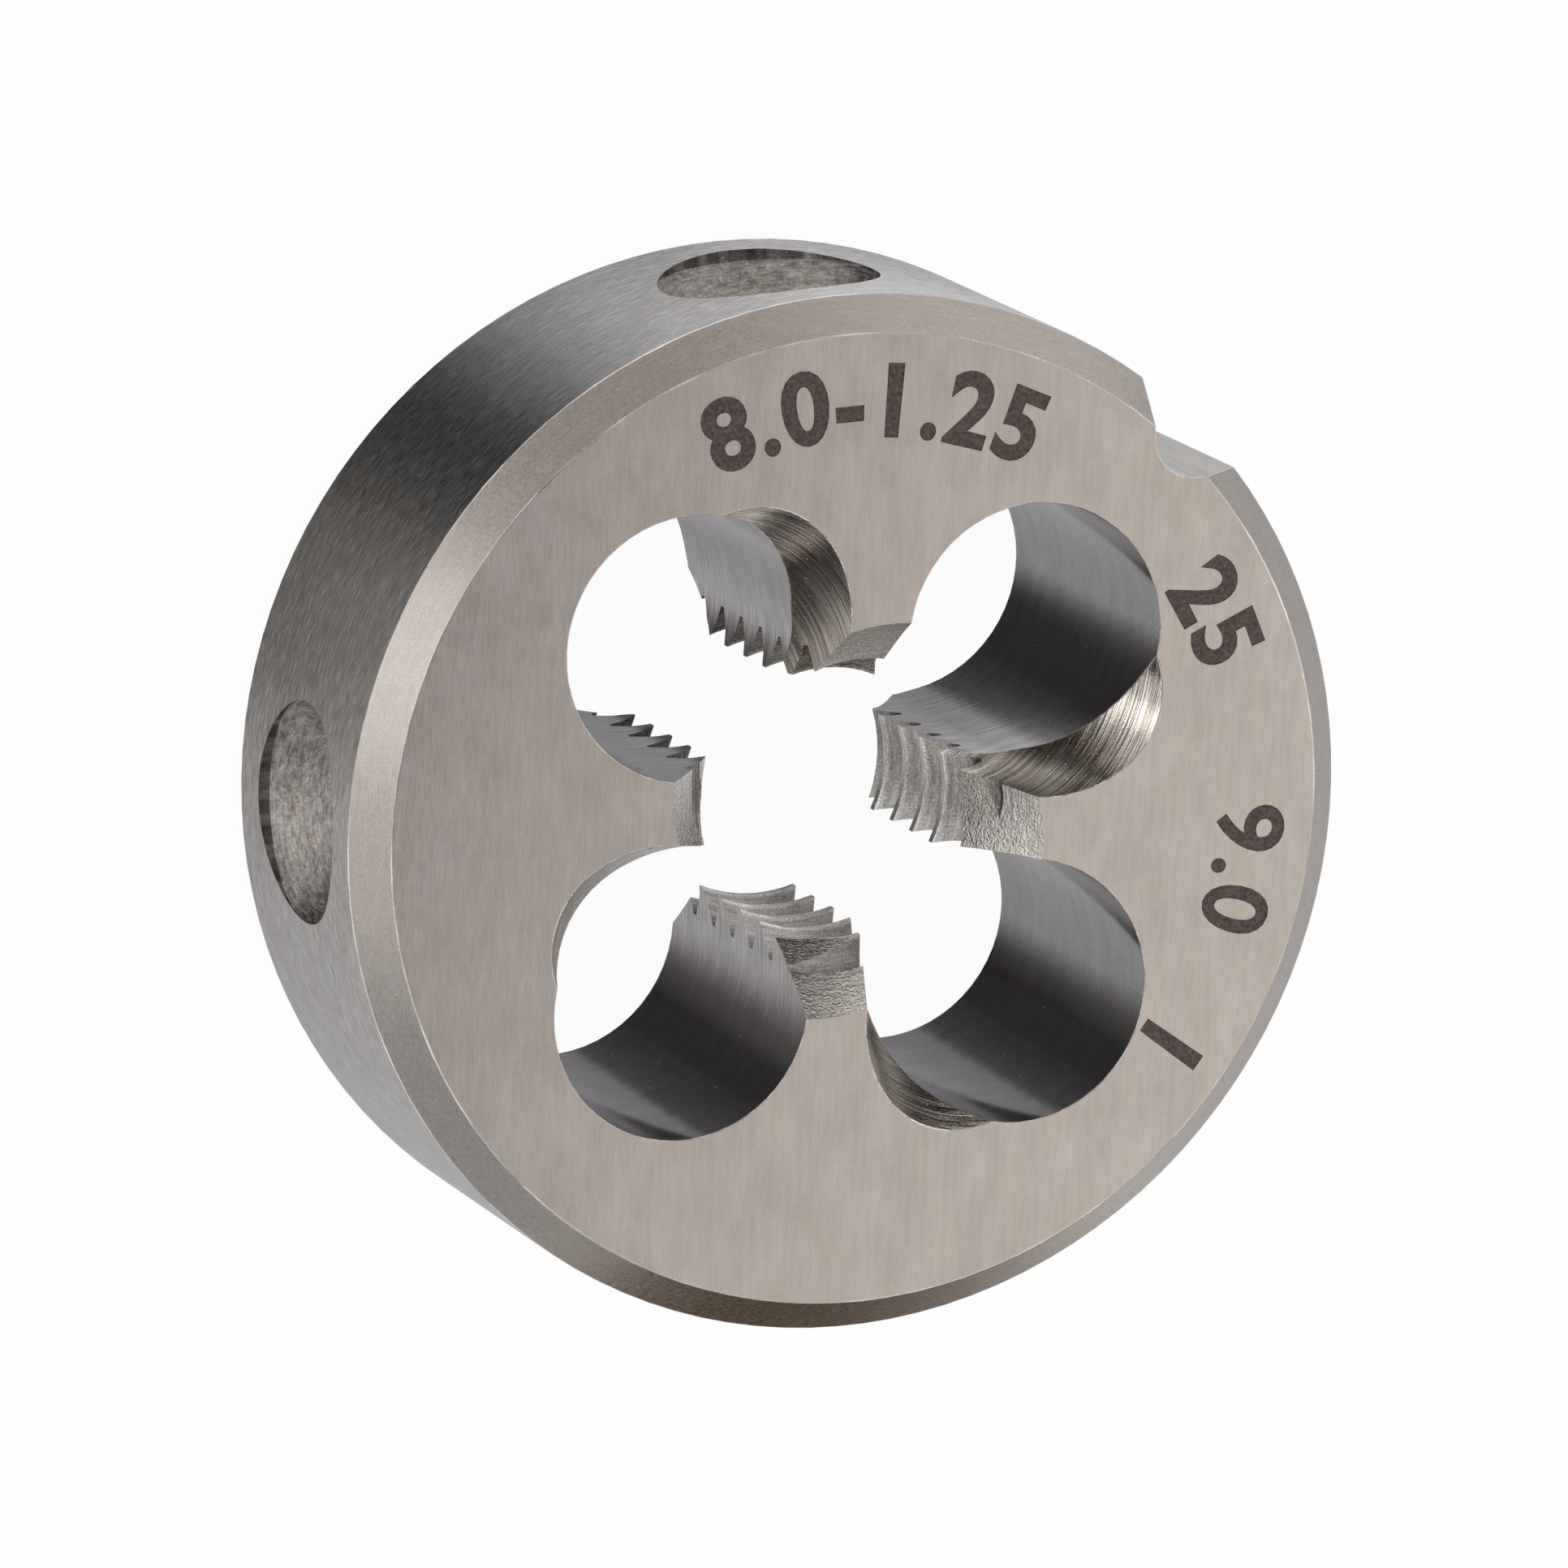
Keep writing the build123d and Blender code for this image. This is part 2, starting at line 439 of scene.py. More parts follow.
def surface_of(face):
    """The surface that a face of the die belongs to, told by where its corners lie."""
    sizes = bpy.context.scene.die_sizes
    rise, middle = face.normal.z, face.calc_center_median()
    corners = [vert.co for vert in face.verts]
    radius = middle.xy.length
    share = radius / sizes.outer_radius
    depth = sizes.thickness - middle.z
    upright = abs(rise) < UPRIGHT_RISE
    if abs(rise) > FLAT_RISE and min(abs(middle.z), abs(depth)) < ON_SURFACE:
        return "front" if rise > 0 else "rear"
    in_ring = abs(radius - sizes.mark_radius) < MARK_REACH
    if in_ring and MARK_START < depth < sizes.etch_depth + ON_SURFACE:
        return "mark"
    if upright and all_on(corners, lambda c: c.xy.length - sizes.outer_radius):
        return "rim"
    from_notch = abs(wrapped(math.atan2(middle.y, middle.x) - sizes.notch_angle))
    if upright and share > NOTCH_SHARE and from_notch < NOTCH_HALF_ANGLE:
        return "notch"
    away, along = off_axis(middle, UP * sizes.seat_height, seat_of(middle))
    if away.length < sizes.seat_radius + ON_SURFACE and along > SEAT_SHARE * sizes.outer_radius:
        return "seat"
    if abs(abs(rise) - CHAMFER_RISE) < CHAMFER_SPREAD and share > CHAMFER_SHARE:
        return "chamfer"
    return hole_surface_of(middle, corners, upright)


def turn_of(point, start, axis, zero):
    """The angle of a point round an axis, counted from a direction."""
    away = off_axis(point, start, axis)[0]
    return math.atan2(away.dot(axis.cross(zero)), away.dot(zero))


def unrolled(point, middle, start, axis, zero):
    """A point's angle round an axis, its distance from the axis and its place along it.

    The angle is kept within half a turn of the one of the face's middle, so that no face's lines are torn.
    """
    away, along = off_axis(point, start, axis)
    base = turn_of(middle, start, axis, zero)
    turn = base + wrapped(turn_of(point, start, axis, zero) - base)
    return turn, away.length, along


def line_place(surface, face, point):
    """A point's place in millimetres: first along the lines that made the surface, then across them."""
    sizes = bpy.context.scene.die_sizes
    middle = face.calc_center_median()
    if surface in ("front", "rear", "mark"):
        return point.y / MM, point.x / MM
    if surface in ("rim", "chamfer"):
        opposite_notch = turned(sizes.notch_angle + math.pi, (1, 0, 0))
        turn, away, along = unrolled(point, middle, CENTRE, UP, opposite_notch)
        return turn * sizes.outer_radius / MM, (along - away) / MM
    if surface == "notch":
        side = turned(sizes.notch_angle + QUARTER, (1, 0, 0))
        return point.z / MM, point.dot(side) / MM
    if surface == "seat":
        turn, away, along = unrolled(point, middle, UP * sizes.seat_height, seat_of(middle), UP)
        return turn * sizes.seat_radius / MM, away / MM
    if surface in ("bore", "relief"):
        centre = turned(QUARTER * (hole_of(middle) + 0.5), (sizes.chip_circle_radius, 0, 0))
        turn, away, along = unrolled(point, middle, centre, UP, centre.normalized())
        return turn * sizes.chip_hole_radius / MM, point.z / MM
    if surface == "gash":
        start, direction, to_land = gash_of(middle)
        zero = (to_land - direction * to_land.dot(direction)).normalized()
        turn, away, along = unrolled(point, middle, start, direction, zero)
        return turn * sizes.gash_radius / MM, along / MM
    # The lines of the thread and the leads run round the die's axis, and so do those of the broken edges.
    land_line = turned(QUARTER * land_of(middle), (1, 0, 0))
    turn, away, along = unrolled(point, middle, CENTRE, UP, land_line)
    return turn * sizes.root_radius / MM, (away + along) / MM


def merged_copy():
    """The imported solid's triangles, joined into one closed skin of flat faces."""
    skin = bmesh.new()
    skin.from_mesh(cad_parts["die_body"].data)
    bmesh.ops.remove_doubles(skin, verts=skin.verts, dist=CORNER_GAP)
    bmesh.ops.dissolve_limit(
        skin, angle_limit=FACET_BEND, verts=skin.verts, edges=skin.edges, use_dissolve_boundaries=False
    )
    skin.normal_update()
    return skin


def bent_digits(text, middle):
    """A row of plain digits, bent round the face at an angle, as a closed slab down to the marks' depth."""
    sizes = bpy.context.scene.die_sizes
    curve = bpy.data.curves.new("digits", "FONT")
    curve.body = text
    curve.size = sizes.mark_height / DIGIT_SHARE
    curve.align_x = "CENTER"
    curve.offset = (NINE_GROWTH if "9" in text else STROKE_GROWTH) * sizes.mark_height
    curve.space_character = DIGIT_SPACING
    curve.resolution_u = 5
    row = bpy.data.objects.new("digits", curve)
    flat = bpy.data.meshes.new_from_object(row)
    slab = bmesh.new()
    slab.from_mesh(flat)
    bpy.data.objects.remove(row)
    bpy.data.curves.remove(curve)
    bpy.data.meshes.remove(flat)
    bmesh.ops.remove_doubles(slab, verts=slab.verts, dist=DIGIT_GAP)
    bmesh.ops.dissolve_limit(slab, angle_limit=DIGIT_BEND, verts=slab.verts, edges=slab.edges)
    for vert in slab.verts:
        reach = sizes.mark_radius + vert.co.y - sizes.mark_height / 2
        turn = middle - vert.co.x / sizes.mark_radius
        vert.co = (reach * math.cos(turn), reach * math.sin(turn), sizes.thickness - sizes.etch_depth)
    grown = bmesh.ops.extrude_face_region(slab, geom=slab.faces)
    risen = [each for each in grown["geom"] if isinstance(each, bmesh.types.BMVert)]
    bmesh.ops.translate(slab, verts=risen, vec=(0, 0, CUTTER_SHARE * sizes.etch_depth))
    bmesh.ops.recalc_face_normals(slab, faces=slab.faces)
    return slab


def etched(skin):
    """Sinks the digits into the front face."""
    marks = bmesh.new()
    for text, middle in MARKS.items():
        slab = bent_digits(text, math.radians(middle))
        row = bpy.data.meshes.new("digits")
        slab.to_mesh(row)
        slab.free()
        marks.from_mesh(row)
        bpy.data.meshes.remove(row)
    die = into_scene("die", skin)
    cutter = into_scene("marks", marks)
    cut = die.modifiers.new("etch", "BOOLEAN")
    cut.operation = "DIFFERENCE"
    cut.solver = "EXACT"
    cut.object = cutter
    done = bpy.data.meshes.new_from_object(die.evaluated_get(bpy.context.evaluated_depsgraph_get()))
    sunk = bmesh.new()
    sunk.from_mesh(done)
    for used in (die, cutter):
        mesh = used.data
        bpy.data.objects.remove(used)
        bpy.data.meshes.remove(mesh)
    bpy.data.meshes.remove(done)
    sunk.normal_update()
    return sunk


def break_edges(skin):
    """Rounds the edges where two surfaces meet, and returns the layer that marks the new faces.

    The teeth, the seats and the marks are left sharp.
    """
    sizes = bpy.context.scene.die_sizes
    sharp = {SLOT[name] for name in ("thread", "lead", "relief", "seat", "mark")}
    # Adding a layer makes a list of edges out of date, so it comes first.
    broken = skin.faces.layers.int.new("broken")
    chosen = []
    for edge in skin.edges:
        slots = {face.material_index for face in edge.link_faces}
        if len(slots) == 2 and not slots & sharp and edge.calc_face_angle(0) > BREAK_ABOVE:
            chosen.append(edge)
    rounded = bmesh.ops.bevel(
        skin,
        geom=chosen,
        offset=sizes.edge_break,
        offset_type="OFFSET",
        segments=2,
        profile=0.5,
        affect="EDGES",
        clamp_overlap=False,
        material=-1,
    )
    for face in rounded["faces"]:
        face.material_index = SLOT["edge"]
        face[broken] = 1
    skin.normal_update()
    return broken


def true_normal(surface, face, point):
    """The way that the real surface faces at a point, or nothing where only the facets tell it."""
    sizes = bpy.context.scene.die_sizes
    middle = face.calc_center_median()
    if surface in ("front", "rear"):
        return UP if surface == "front" else -UP
    if surface == "rim":
        return outward(point)
    if surface == "chamfer":
        return (outward(point) + UP * math.copysign(1, face.normal.z)).normalized()
    if surface in ("bore", "relief"):
        return -hole_wall(point, hole_of(middle))[1]
    if surface == "gash":
        start, direction = gash_of(middle)[:2]
        return -off_axis(point, start, direction)[0].normalized()
    if surface == "lead" and middle.z < sizes.thickness / 2:
        half_angle = sizes.rear_lead_half_angle
        return -UP * math.sin(half_angle) - outward(point) * math.cos(half_angle)
    if surface == "lead":
        half_angle = sizes.front_lead_half_angle
        away = outward(point - lead_centre(land_of(middle)))
        return UP * math.sin(half_angle) - away * math.cos(half_angle)
    if surface == "seat":
        axis = seat_of(middle)
        away = off_axis(point, UP * sizes.seat_height, axis)[0]
        if away.length < SEAT_TIP:
            return axis
        on_cone = face.normal.dot(axis) > CONE_RISE
        return (axis - away.normalized()).normalized() if on_cone else -away.normalized()
    return None


def smooth_normal(face, vert):
    """The mean of the facets round a corner that are of the same surface and bend only a little."""
    total = Vector()
    for other in vert.link_faces:
        same = other.material_index == face.material_index
        if same and other.normal.angle(face.normal, 0) < SMOOTH_BELOW:
            total += other.normal * other.calc_area()
    return total.normalized() if total.length > 0 else face.normal


def corner_normals(skin, broken):
    """One normal for each corner of each face, in the mesh's own order.

    On a broken edge it is the mean of the surfaces beside that corner.
    """
    normals = []
    for face in skin.faces:
        for loop in face.loops:
            vert = loop.vert
            if not face[broken]:
                surface = SLOT_NAME[face.material_index]
                normals.append(true_normal(surface, face, vert.co) or smooth_normal(face, vert))
                continue
            beside = {other.material_index: other for other in vert.link_faces if not other[broken]}
            total = Vector()
            for slot, other in beside.items():
                total += true_normal(SLOT_NAME[slot], other, vert.co) or other.normal
            normals.append(total.normalized() if beside else vert.normal.copy())
    return normals


def set_line_places(skin):
    """Writes the line places as the piece's UV map."""
    layer = skin.loops.layers.uv.new("lines")
    for face in skin.faces:
        surface = SLOT_NAME[face.material_index]
        for loop in face.loops:
            loop[layer].uv = line_place(surface, face, loop.vert.co)


def weighted(tree, amount, pattern, ends, weights):
    """An amount times a weight, which runs between two weights as a pattern runs between two ends."""
    low, high = weights
    weight = add_node(
        tree,
        "ShaderNodeMapRange",
        None,
        {"Value": pattern, "From Min": ends[0], "From Max": ends[1], "To Min": low, "To Max": high},
    ).outputs["Result"]
    product = add_node(tree, "ShaderNodeMath", {"operation": "MULTIPLY"}, {0: amount, 1: weight})
    return product.outputs["Value"]


def drawn_lines(tree, along, lines):
    """The pattern of the first row of lines, and the shade that all the rows give."""
    patterns = []
    shade = 1.0
    for long, wide, strength in lines:
        scale = (1 / long, 1 / wide, 1)
        drawn = add_node(tree, "ShaderNodeMapping", None, {"Vector": along, "Scale": scale})
        noise = add_node(
            tree,
            "ShaderNodeTexNoise",
            {"noise_dimensions": "2D"},
            {"Vector": drawn.outputs["Vector"], "Scale": 1, "Detail": 2, "Roughness": 0.5},
        )
        patterns.append(noise.outputs["Fac"])
        shade = weighted(tree, shade, patterns[-1], STRONG, (1 - strength, 1 + strength))
    return patterns[0], shade


def drifting_clouds(tree, along, base, size, tinting):
    """The pattern of the clouds, and a colour that drifts between warm and cool with them."""
    colours = bpy.context.scene.die_colours
    scale = (1 / (CLOUD_STRETCH * size), 1 / size, 1)
    drawn = add_node(tree, "ShaderNodeMapping", None, {"Vector": along, "Scale": scale})
    noise = add_node(
        tree,
        "ShaderNodeTexNoise",
        {"noise_dimensions": "2D"},
        {"Vector": drawn.outputs["Vector"], "Scale": 1, "Detail": 4, "Roughness": 0.65},
    )
    parts = add_node(tree, "ShaderNodeSeparateColor", None, {"Color": noise.outputs["Color"]})
    coolness = add_node(
        tree,
        "ShaderNodeMapRange",
        None,
        {"Value": parts.outputs["Green"], "From Min": MEDIUM[0], "From Max": MEDIUM[1]},
    )
    tint = add_node(
        tree,
        "ShaderNodeMix",
        {"data_type": "RGBA"},
        {"Factor": coolness.outputs["Result"], "A": tuple(colours.warm), "B": tuple(colours.cool)},
    )
    tinted = add_node(
        tree,
        "ShaderNodeMix",
        {"data_type": "RGBA"},
        {"Factor": tinting, "A": tuple(base), "B": tint.outputs["Result"]},
    )
    return noise.outputs["Fac"], tinted.outputs["Result"]


def shade_with_painted_light(tree, shade, place, line, painted_light_and_shade):
    """A shade with painted light and shade added, which change with the distance from the die's axis, in
    streaks along the lines.
    """
    level = add_node(tree, "ShaderNodeVectorMath", {"operation": "MULTIPLY"}, {0: place, 1: (1, 1, 0)})
    away = add_node(tree, "ShaderNodeVectorMath", {"operation": "LENGTH"}, {0: level.outputs[0]})
    for near, far, gain, streak in painted_light_and_shade:
        low, high = gain - streak, gain + streak
        streaked = add_node(
            tree,
            "ShaderNodeMapRange",
            None,
            {"Value": line, "From Min": STRONG[0], "From Max": STRONG[1], "To Min": low, "To Max": high},
        )
        weights = (streaked.outputs["Result"], 1.0)
        shade = weighted(tree, shade, away.outputs["Value"], (near * MM, far * MM), weights)
    return shade


def specks_and_pits(tree, place, spacing, size, pale, dark):
    """Where the pale specks are, and where the dark pits are."""
    inputs = {"Vector": place, "Scale": 1 / (spacing * MM), "Randomness": 1.0}
    cells = add_node(tree, "ShaderNodeTexVoronoi", None, inputs)
    chance = add_node(tree, "ShaderNodeSeparateColor", None, {"Color": cells.outputs["Color"]})
    rim = size / spacing
    inside = add_node(
        tree,
        "ShaderNodeMapRange",
        None,
        {"Value": cells.outputs["Distance"], "From Min": rim, "From Max": SPECK_CORE * rim},
    ).outputs["Result"]
    speck = weighted(tree, inside, chance.outputs["Red"], (pale, CHANCE_CORE * pale), (0, 1))
    pit = weighted(tree, inside, chance.outputs["Green"], (dark, CHANCE_CORE * dark), (0, 1))
    return speck, pit


def finish_material(name, base, lines, grain, clouds, dust, rough, relief, painted_light_and_shade=()):
    """Bare steel as its cutting or grinding left it.

    lines are rows of length, width and strength, and grain is a size and strength. clouds are a size and the
    strengths of their shade and tint. dust is the spacing and size of specks, and the shares of pale and
    dark ones. rough is the lowest and highest roughness, and relief is the height of the lines and of the
    grain. painted_light_and_shade are rows of painted light and shade, which change with the distance from
    the die's axis: two distances, the shade at the first, which fades to none at the second, and how streaky
    it is. Lengths are in millimetres.
    """
    made, tree = bare_material(name)
    colours = bpy.context.scene.die_colours
    along = add_node(tree, "ShaderNodeUVMap", {"uv_map": "lines"}).outputs["UV"]
    place = add_node(tree, "ShaderNodeTexCoord").outputs["Object"]
    line, shade = drawn_lines(tree, along, lines)
    grain_size, grain_strength = grain
    grit = add_node(
        tree,
        "ShaderNodeTexNoise",
        None,
        {"Vector": place, "Scale": 1 / (grain_size * MM), "Detail": 2, "Roughness": 0.6},
    ).outputs["Fac"]
    shade = weighted(tree, shade, grit, MEDIUM, (1 - grain_strength, 1 + grain_strength))
    cloud_size, shading, tinting = clouds
    drift, tinted = drifting_clouds(tree, along, base, cloud_size, tinting)
    shade = weighted(tree, shade, drift, WEAK, (1 - shading, 1 + shading))
    if painted_light_and_shade:
        shade = shade_with_painted_light(tree, shade, place, line, painted_light_and_shade)
    speck, pit = specks_and_pits(tree, place, *dust)
    shade = weighted(tree, shade, pit, (0, 1), (1, PIT_SHADE))
    shaded = add_node(tree, "ShaderNodeVectorMath", {"operation": "SCALE"}, {0: tinted, "Scale": shade})
    dusted = add_node(
        tree,
        "ShaderNodeMix",
        {"data_type": "RGBA"},
        {"Factor": speck, "A": shaded.outputs["Vector"], "B": tuple(colours.dust)},
    )
    metallic = add_node(
        tree, "ShaderNodeMapRange", None, {"Value": speck, "To Min": 1.0, "To Max": DUST_METALLIC}
    )
    roughness = add_node(
        tree,
        "ShaderNodeMapRange",
        None,
        {"Value": line, "From Min": WEAK[0], "From Max": WEAK[1], "To Min": rough[0], "To Max": rough[1]},
    )
    normal = {}
    for pattern, height in zip((line, grit), relief):
        inputs = {"Height": pattern, "Strength": 1.0, "Distance": height * MM, **normal}
        normal = {"Normal": add_node(tree, "ShaderNodeBump", None, inputs).outputs["Normal"]}
    shader = add_node(
        tree,
        "ShaderNodeBsdfPrincipled",
        None,
        {
            "Base Color": dusted.outputs["Result"],
            "Metallic": metallic.outputs["Result"],
            "Roughness": roughness.outputs["Result"],
            **normal,
        },
    )
    add_node(tree, "ShaderNodeOutputMaterial", None, {"Surface": shader.outputs["BSDF"]})
    return made


def steel_finishes():
    """One material for each way that the steel was cut, ground or marked.

    Real grinding lines and grit are 0.005 to 0.02 mm wide, which is too fine to show, so the finest lines
    here are drawn 0.04 mm wide and the finest grain 0.045 mm.
    """
    colours = bpy.context.scene.die_colours
    return {
        # Surface-ground high-speed steel: satin, with short hairlines and faint warm and cool clouds.
        "face": finish_material(
            "surface_ground_steel",
            colours.face,
            lines=[(0.5, 0.04, 0.05), (1.6, 0.14, 0.03)],
            grain=(0.06, 0.03),
            clouds=(1.0, 0.07, 0.13),
            dust=(0.5, 0.014, 0.08, 0.03),
            rough=(0.3, 0.4),
            relief=(0.0006, 0.0003),
        ),
        # The same steel, chamfered by a finer wheel: an even sparkling grain with few lines.
        "chamfer": finish_material(
            "chamfer_ground_steel",
            colours.chamfer,
            lines=[(0.15, 0.05, 0.05), (0.8, 0.1, 0.03)],
            grain=(0.045, 0.09),
            clouds=(0.5, 0.03, 0.06),
            dust=(0.3, 0.018, 0.12, 0.02),
            rough=(0.25, 0.36),
            relief=(0.0006, 0.0014),
        ),
        # Ground between centres: short fine lines round the rim that catch the light as a brushed sheen.
        "rim": finish_material(
            "cylindrical_ground_steel",
            colours.rim,
            lines=[(0.4, 0.04, 0.2), (1.2, 0.1, 0.12)],
            grain=(0.05, 0.06),
            clouds=(0.8, 0.07, 0.1),
            dust=(0.5, 0.012, 0.05, 0.05),
            rough=(0.14, 0.26),
            relief=(0.0022, 0.0005),
        ),
        # Milled along the groove: straight lines up its walls, with a soft sheen.
        "notch": finish_material(
            "milled_steel",
            colours.seat,
            lines=[(2.0, 0.05, 0.14), (6.0, 0.2, 0.08)],
            grain=(0.05, 0.06),
            clouds=(0.6, 0.05, 0.1),
            dust=(0.4, 0.015, 0.1, 0.1),
            rough=(0.2, 0.32),
            relief=(0.0015, 0.0005),
        ),
        # Drilled and left rough: dull rings and pits full of small glints, and painted shade that makes it
        # dark just under the rim.
        "seat": finish_material(
            "drilled_steel",
            colours.seat,
            lines=[(0.5, 0.05, 0.22), (0.3, 0.12, 0.16)],
            grain=(0.07, 0.2),
            clouds=(0.3, 0.15, 0.1),
            dust=(0.15, 0.02, 0.3, 0.3),
            rough=(0.34, 0.5),
            relief=(0.006, 0.008),
            painted_light_and_shade=[(12.45, 12.1, 0.65, 0.15)],
        ),
        # Reamed to a soft mirror, with a little dust, and a painted sheen, streaked along the lines, that
        # makes it brighter beside the teeth.
        "bore": finish_material(
            "reamed_steel",
            colours.bore,
            lines=[(1.5, 0.045, 0.05), (5.0, 0.4, 0.04)],
            grain=(0.05, 0.06),
            clouds=(0.5, 0.07, 0.06),
            dust=(0.22, 0.022, 0.12, 0.25),
            rough=(0.1, 0.16),
            relief=(0.0004, 0.0003),
            painted_light_and_shade=[(4.2, 5.6, 1.5, 0.35)],
        ),
        # Ground by a coarse wheel: bold bright arcs, slightly warm from the heat, with glinting grit.
        "gash": finish_material(
            "coarse_ground_steel",
            colours.gash,
            lines=[(2.5, 0.04, 0.42), (4.0, 0.12, 0.24)],
            grain=(0.05, 0.12),
            clouds=(0.7, 0.15, 0.12),
            dust=(0.14, 0.018, 0.4, 0.1),
            rough=(0.08, 0.18),
            relief=(0.006, 0.004),
        ),
        # Lead chamfer, ground across the teeth: a hammered glitter.
        "lead": finish_material(
            "lead_ground_steel",
            colours.lead,
            lines=[(0.3, 0.04, 0.18), (1.5, 0.12, 0.12)],
            grain=(0.07, 0.12),
            clouds=(0.4, 0.08, 0.15),
            dust=(0.12, 0.018, 0.35, 0.25),
            rough=(0.12, 0.22),
            relief=(0.003, 0.012),
        ),
        # Thread, cut and lapped: grey flanks with pits, a painted highlight that makes the tips pale and
        # painted shade that makes the roots dark.
        "thread": finish_material(
            "thread_ground_steel",
            colours.thread,
            lines=[(0.3, 0.05, 0.1), (2.0, 0.15, 0.12)],
            grain=(0.06, 0.15),
            clouds=(0.3, 0.12, 0.1),
            dust=(0.14, 0.02, 0.25, 0.45),
            rough=(0.16, 0.3),
            relief=(0.002, 0.006),
            painted_light_and_shade=[(3.26, 3.33, 1.7, 0.1), (4.0, 3.7, 0.45, 0.15)],
        ),
        # Broken edges with a painted highlight: a lighter colour that outlines the holes and the faces with
        # faint pale lines.
        "edge": finish_material(
            "edge_highlight_steel",
            colours.edge,
            lines=[(0.4, 0.05, 0.15), (2.5, 0.3, 0.25)],
            grain=(0.05, 0.15),
            clouds=(0.5, 0.1, 0.05),
            dust=(0.2, 0.02, 0.2, 0.1),
            rough=(0.25, 0.4),
            relief=(0.001, 0.001),
        ),
        "mark": etched_oxide(),
    }


def etched_oxide():
    """Oxide that the marking laser burns into the face: matt, dark brown-grey and slightly uneven."""
    colours = bpy.context.scene.die_colours
    made, tree = bare_material("laser_etched_oxide")
    place = add_node(tree, "ShaderNodeTexCoord").outputs["Object"]
    inputs = {"Vector": place, "Scale": 1 / OXIDE_GRAIN, "Detail": 3}
    burn = add_node(tree, "ShaderNodeTexNoise", None, inputs)
    thinness = add_node(
        tree,
        "ShaderNodeMapRange",
        None,
        {"Value": burn.outputs["Fac"], "From Min": MEDIUM[0], "From Max": MEDIUM[1]},
    )
    tone = add_node(
        tree,
        "ShaderNodeMix",
        {"data_type": "RGBA"},
        {"Factor": thinness.outputs["Result"], "A": tuple(colours.mark), "B": tuple(colours.thin_mark)},
    )
    shader = add_node(
        tree,
        "ShaderNodeBsdfPrincipled",
        None,
        {"Base Color": tone.outputs["Result"], "Metallic": 0.3, "Roughness": 0.55},
    )
    add_node(tree, "ShaderNodeOutputMaterial", None, {"Surface": shader.outputs["BSDF"]})
    return made


class DIE_OT_body(bpy.types.Operator):
    """Dresses the die: a copy of the solid with etched marks, broken edges and a finish on each surface."""

    bl_idname = "die.body"
    bl_label = "Die body"

    def execute(self, context):
        skin = etched(merged_copy())
        if any(len(edge.link_faces) != 2 for edge in skin.edges):
            raise RuntimeError("the etched die isn't closed")
        for face in skin.faces:
            face.material_index = SLOT[surface_of(face)]
        broken = break_edges(skin)
        set_line_places(skin)
        normals = corner_normals(skin, broken)
        skin.faces.layers.int.remove(broken)
        body = into_scene("ground_die", skin)
        finishes = steel_finishes()
        for finish in SURFACES.values():
            body.data.materials.append(finishes[finish])
        body.data.normals_split_custom_set(normals)
        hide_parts("die_body")
        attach(body, "root")
        return {"FINISHED"}


def card_paint(name, code, strength, density, middle):
    """Soft-edged card that glows evenly in its own colour, or takes light away where that is dark."""
    made, tree = bare_material(name)
    made.cycles.emission_sampling = "NONE"
    flat = add_node(tree, "ShaderNodeTexCoord").outputs["UV"]
    off = add_node(tree, "ShaderNodeVectorMath", {"operation": "DISTANCE"}, {0: flat, 1: (0.5, 0.5, 0)})
    share = add_node(
        tree,
        "ShaderNodeMapRange",
        {"interpolation_type": "SMOOTHSTEP"},
        {"Value": off.outputs["Value"], "From Min": 0.5, "From Max": middle / 2, "To Max": density},
    )
    clear = add_node(tree, "ShaderNodeBsdfTransparent")
    glow = add_node(tree, "ShaderNodeEmission", None, {"Color": linear(code), "Strength": strength})
    both = add_node(
        tree, "ShaderNodeMixShader", None, {0: share.outputs[0], 1: clear.outputs[0], 2: glow.outputs[0]}
    )
    add_node(tree, "ShaderNodeOutputMaterial", None, {"Surface": both.outputs[0]})
    return made


def add_card(name, azimuth, elevation, distance, half_width, half_height, *paint):
    """Hangs one card, turned to the die, that only the steel's reflections show."""
    middle = UP * bpy.context.scene.die_sizes.thickness / 2
    azimuth, elevation = math.radians(azimuth), math.radians(elevation)
    level = math.cos(elevation)
    toward = Vector((math.cos(azimuth) * level, math.sin(azimuth) * level, math.sin(elevation)))
    card = bmesh.new()
    card.loops.layers.uv.new("flat")
    bmesh.ops.create_grid(card, x_segments=1, y_segments=1, size=1, calc_uvs=True)
    bmesh.ops.scale(card, verts=card.verts, vec=(half_width * MM, half_height * MM, 1))
    facing = toward.to_track_quat("Z", "Y").to_matrix().to_4x4()
    place = Matrix.Translation(toward * distance * MM + middle) @ facing
    bmesh.ops.transform(card, matrix=place, verts=card.verts)
    hung = into_scene(name, card)
    hung.data.materials.append(card_paint(name, *paint))
    hung.visible_camera = False
    hung.visible_diffuse = False
    hung.visible_transmission = False
    hung.visible_volume_scatter = False
    hung.visible_shadow = False


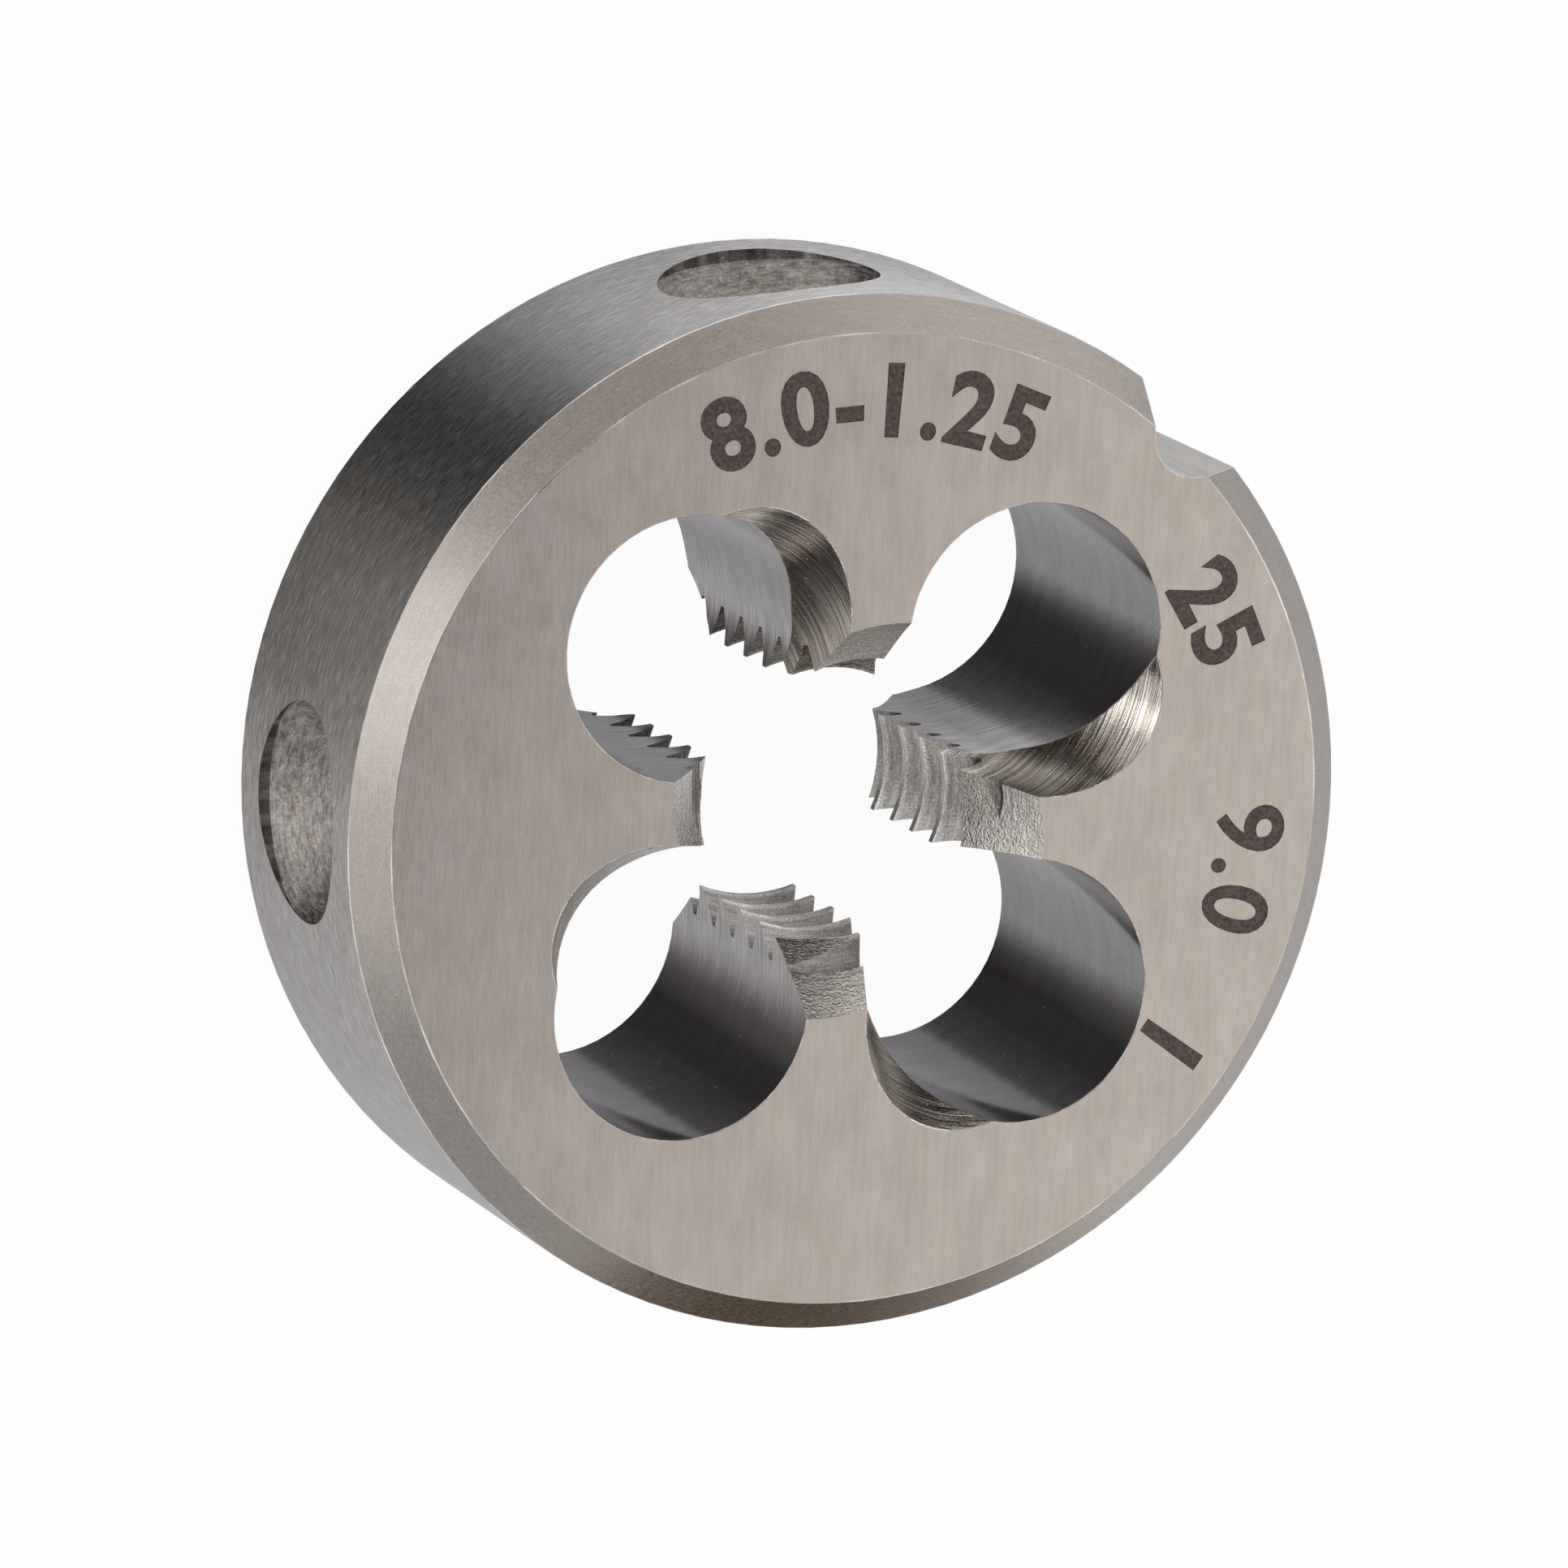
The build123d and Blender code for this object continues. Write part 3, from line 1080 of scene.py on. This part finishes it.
def floor_paint():
    """Painted floor board: dull and pale, and nearly white to the camera, with only a faint shadow."""
    colours = bpy.context.scene.die_colours
    made, tree = bare_material("pale_painted_board")
    rays = add_node(tree, "ShaderNodeLightPath")
    dull = add_node(tree, "ShaderNodeBsdfDiffuse", None, {"Color": tuple(colours.floor)})
    glow = add_node(tree, "ShaderNodeEmission", None, {"Color": tuple(colours.white), "Strength": 1.0})
    seen = rays.outputs["Is Camera Ray"]
    for kind in ("Is Glossy Ray", "Is Transmission Ray"):
        either = add_node(tree, "ShaderNodeMath", {"operation": "ADD"}, {0: seen, 1: rays.outputs[kind]})
        seen = either.outputs["Value"]
    share = add_node(tree, "ShaderNodeMath", {"operation": "MULTIPLY"}, {0: seen, 1: FLOOR_GLOW})
    both = add_node(
        tree, "ShaderNodeMixShader", None, {0: share.outputs[0], 1: dull.outputs[0], 2: glow.outputs[0]}
    )
    add_node(tree, "ShaderNodeOutputMaterial", None, {"Surface": both.outputs[0]})
    return made


def lay_floor():
    """Lays the floor that the die lies on. The steel doesn't mirror it, but the cards below it."""
    plate = bmesh.new()
    bmesh.ops.create_grid(plate, x_segments=1, y_segments=1, size=FLOOR_HALF_SIZE)
    bmesh.ops.translate(plate, verts=plate.verts, vec=(0, 0, -FLOOR_DROP))
    floor = into_scene("floor", plate)
    floor.data.materials.append(floor_paint())
    floor.visible_glossy = False


def whiten_room():
    """Lights the die evenly from a white room."""
    white = tuple(bpy.context.scene.die_colours.white)
    world = bpy.data.worlds.new("white_room")
    bpy.context.scene.world = world
    world.use_nodes = True
    tree = world.node_tree
    tree.nodes.clear()
    room = add_node(tree, "ShaderNodeBackground", None, {"Color": white, "Strength": 1.0})
    add_node(tree, "ShaderNodeOutputWorld", None, {"Surface": room.outputs[0]})


def place_camera():
    """Places the camera at the photograph's viewing angle."""
    scene = bpy.context.scene
    view = scene.die_view
    back = Vector(view.back).normalized()
    level = Vector(view.up).cross(back).normalized()
    upright = back.cross(level)
    right = level * math.cos(view.roll) + upright * math.sin(view.roll)
    up = upright * math.cos(view.roll) - level * math.sin(view.roll)
    lens = bpy.data.cameras.new("camera")
    lens.sensor_width = 36
    lens.lens = view.focal
    lens.shift_x = view.shift_x
    lens.shift_y = view.shift_y
    lens.clip_start = 0.01
    lens.clip_end = 10
    camera = bpy.data.objects.new("camera", lens)
    place = UP * scene.die_sizes.thickness / 2 + back * view.distance
    camera.matrix_world = Matrix.Translation(place) @ Matrix((right, up, back)).transposed().to_4x4()
    scene.collection.objects.link(camera)
    scene.camera = camera
    scene.view_settings.view_transform = "Standard"


class DIE_OT_stage(bpy.types.Operator):
    """Lays the floor, whitens the room, hangs the cards that the steel mirrors and places the camera."""

    bl_idname = "die.stage"
    bl_label = "Floor, light and camera"

    def execute(self, context):
        lay_floor()
        whiten_room()
        for name, card in CARDS.items():
            add_card(name, *card)
        place_camera()
        return {"FINISHED"}


STEPS = (DIE_OT_body, DIE_OT_stage)
SETTINGS = {"die_sizes": DieSizes, "die_colours": DieColours, "die_view": DieView}


class DIE_PT_panel(bpy.types.Panel):
    """The steps that make the scene, in order, and the settings that they read."""

    bl_idname = "DIE_PT_panel"
    bl_label = "Threading die"
    bl_space_type = "VIEW_3D"
    bl_region_type = "UI"
    bl_category = "Die"

    def draw(self, context):
        for step in STEPS:
            self.layout.operator(step.bl_idname)
        for group, kind in SETTINGS.items():
            for setting in kind.__annotations__:
                self.layout.prop(getattr(context.scene, group), setting)


CLASSES = (*SETTINGS.values(), *STEPS, DIE_PT_panel)


def register():
    """Adds the steps, the panel and the scene's settings."""
    for each in CLASSES:
        bpy.utils.register_class(each)
    for group, kind in SETTINGS.items():
        setattr(bpy.types.Scene, group, PointerProperty(type=kind))


def unregister():
    """Takes away what register adds."""
    for group in SETTINGS:
        delattr(bpy.types.Scene, group)
    for each in reversed(CLASSES):
        bpy.utils.unregister_class(each)


def main():
    """Makes the scene."""
    register()
    bpy.ops.die.body()
    bpy.ops.die.stage()


if __name__ == "__main__":
    main()
